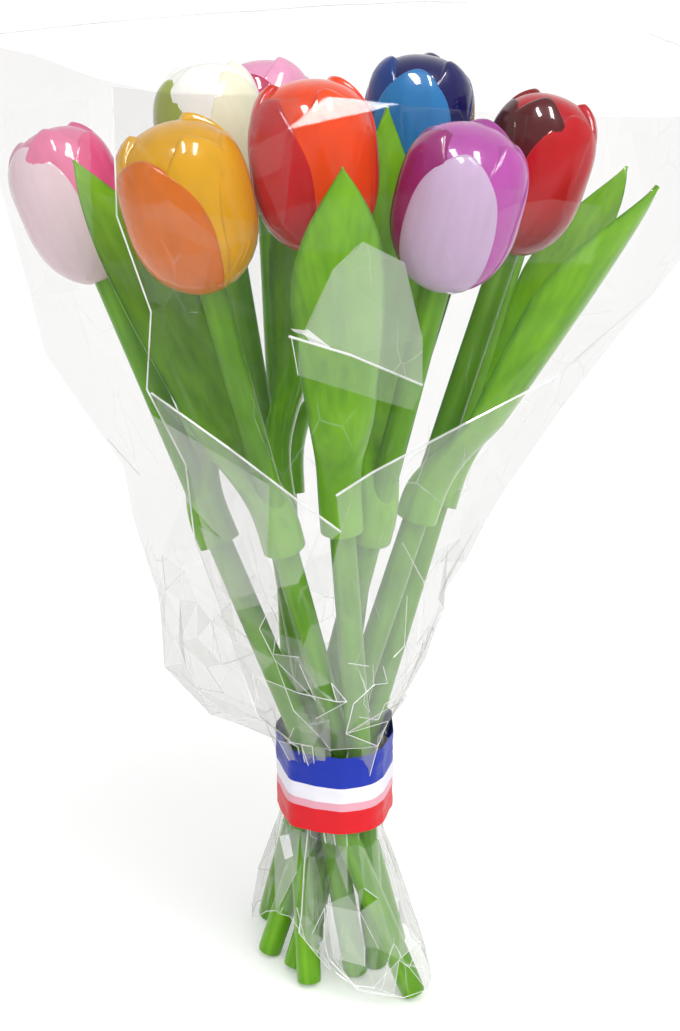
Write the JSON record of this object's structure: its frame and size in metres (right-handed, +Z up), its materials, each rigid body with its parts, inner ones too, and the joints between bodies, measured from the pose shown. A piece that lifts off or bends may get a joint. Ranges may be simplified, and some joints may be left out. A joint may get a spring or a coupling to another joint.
{
  "type": "wooden tulip bunch",
  "caption": "Bunch of painted wooden tulips with carved heads, dowel stems and turning leaves, tied with a striped ribbon in a clear wrap",
  "frame": {"origin": "on the floor under the tied waist of the bunch", "axes": "+Z up along the bunch, -Y toward the side that the picture shows, +X to its right"},
  "size_m": [0.2584, 0.2083, 0.34],
  "materials": {
    "pink_paint": "gloss lacquer",
    "yellow_paint": "gloss lacquer",
    "white_paint": "gloss lacquer",
    "crimson_paint": "gloss lacquer",
    "orange_paint": "gloss lacquer",
    "blue_paint": "gloss lacquer",
    "lilac_paint": "gloss lacquer",
    "red_paint": "gloss lacquer",
    "gold_paint": "gloss lacquer",
    "green_paint": "gloss lacquer",
    "ribbon_band": "satin ribbon, blue, white and red stripes",
    "film_wrap": "clear film",
    "inner_tie": "clear tape"
  },
  "bodies": {
    "bunch": {"pink_head": "pink_paint", "pink_stem": "green_paint", "yellow_head": "yellow_paint", "yellow_stem": "green_paint", "white_head": "white_paint", "white_stem": "green_paint", "crimson_head": "crimson_paint", "crimson_stem": "green_paint", "orange_head": "orange_paint", "orange_stem": "green_paint", "blue_head": "blue_paint", "blue_stem": "green_paint", "lilac_head": "lilac_paint", "lilac_stem": "green_paint", "red_head": "red_paint", "red_stem": "green_paint", "gold_head": "gold_paint", "gold_stem": "green_paint", "ribbon_band": "ribbon_band", "film_wrap": "film_wrap", "inner_tie": "inner_tie"},
    "pink_leaf": {"pink_leaf": "green_paint"},
    "yellow_leaf": {"yellow_leaf": "green_paint"},
    "white_leaf": {"white_leaf": "green_paint"},
    "crimson_leaf": {"crimson_leaf": "green_paint"},
    "orange_leaf": {"orange_leaf": "green_paint"},
    "blue_leaf": {"blue_leaf": "green_paint"},
    "lilac_leaf": {"lilac_leaf": "green_paint"},
    "red_leaf": {"red_leaf": "green_paint"},
    "gold_leaf": {"gold_leaf": "green_paint"}
  },
  "joints": [
    {"name": "pink_leaf_turn", "type": "hinge", "parent": "bunch", "child": "pink_leaf", "pos_m": [-0.04118, 0.00065, 0.16763], "axis": [-0.3826, 0.1548, 0.9109], "range_deg": [-8, 8]},
    {"name": "yellow_leaf_turn", "type": "hinge", "parent": "bunch", "child": "yellow_leaf", "pos_m": [-0.01769, -0.02482, 0.17511], "axis": [-0.2196, -0.2005, 0.9548], "range_deg": [-8, 8]},
    {"name": "white_leaf_turn", "type": "hinge", "parent": "bunch", "child": "white_leaf", "pos_m": [-0.02139, 0.0048, 0.17982], "axis": [-0.1574, 0.0885, 0.9836], "range_deg": [-8, 8]},
    {"name": "crimson_leaf_turn", "type": "hinge", "parent": "bunch", "child": "crimson_leaf", "pos_m": [-0.01884, 0.02579, 0.17747], "axis": [-0.0485, 0.2423, 0.969], "range_deg": [-8, 8]},
    {"name": "orange_leaf_turn", "type": "hinge", "parent": "bunch", "child": "orange_leaf", "pos_m": [0.00214, -0.02404, 0.18105], "axis": [-0.0694, -0.1091, 0.9916], "range_deg": [-8, 8]},
    {"name": "blue_leaf_turn", "type": "hinge", "parent": "bunch", "child": "blue_leaf", "pos_m": [0.01196, 0.01722, 0.18121], "axis": [0.1191, 0.0199, 0.9927], "range_deg": [-8, 8]},
    {"name": "lilac_leaf_turn", "type": "hinge", "parent": "bunch", "child": "lilac_leaf", "pos_m": [0.01177, -0.01175, 0.1741], "axis": [0.2087, -0.2372, 0.9488], "range_deg": [-8, 8]},
    {"name": "red_leaf_turn", "type": "hinge", "parent": "bunch", "child": "red_leaf", "pos_m": [0.02836, 0.00551, 0.17516], "axis": [0.2961, 0.0096, 0.9551], "range_deg": [-8, 8]},
    {"name": "gold_leaf_turn", "type": "hinge", "parent": "bunch", "child": "gold_leaf", "pos_m": [0.03687, 0.03399, 0.17075], "axis": [0.288, 0.2323, 0.929], "range_deg": [-8, 8]}
  ]
}
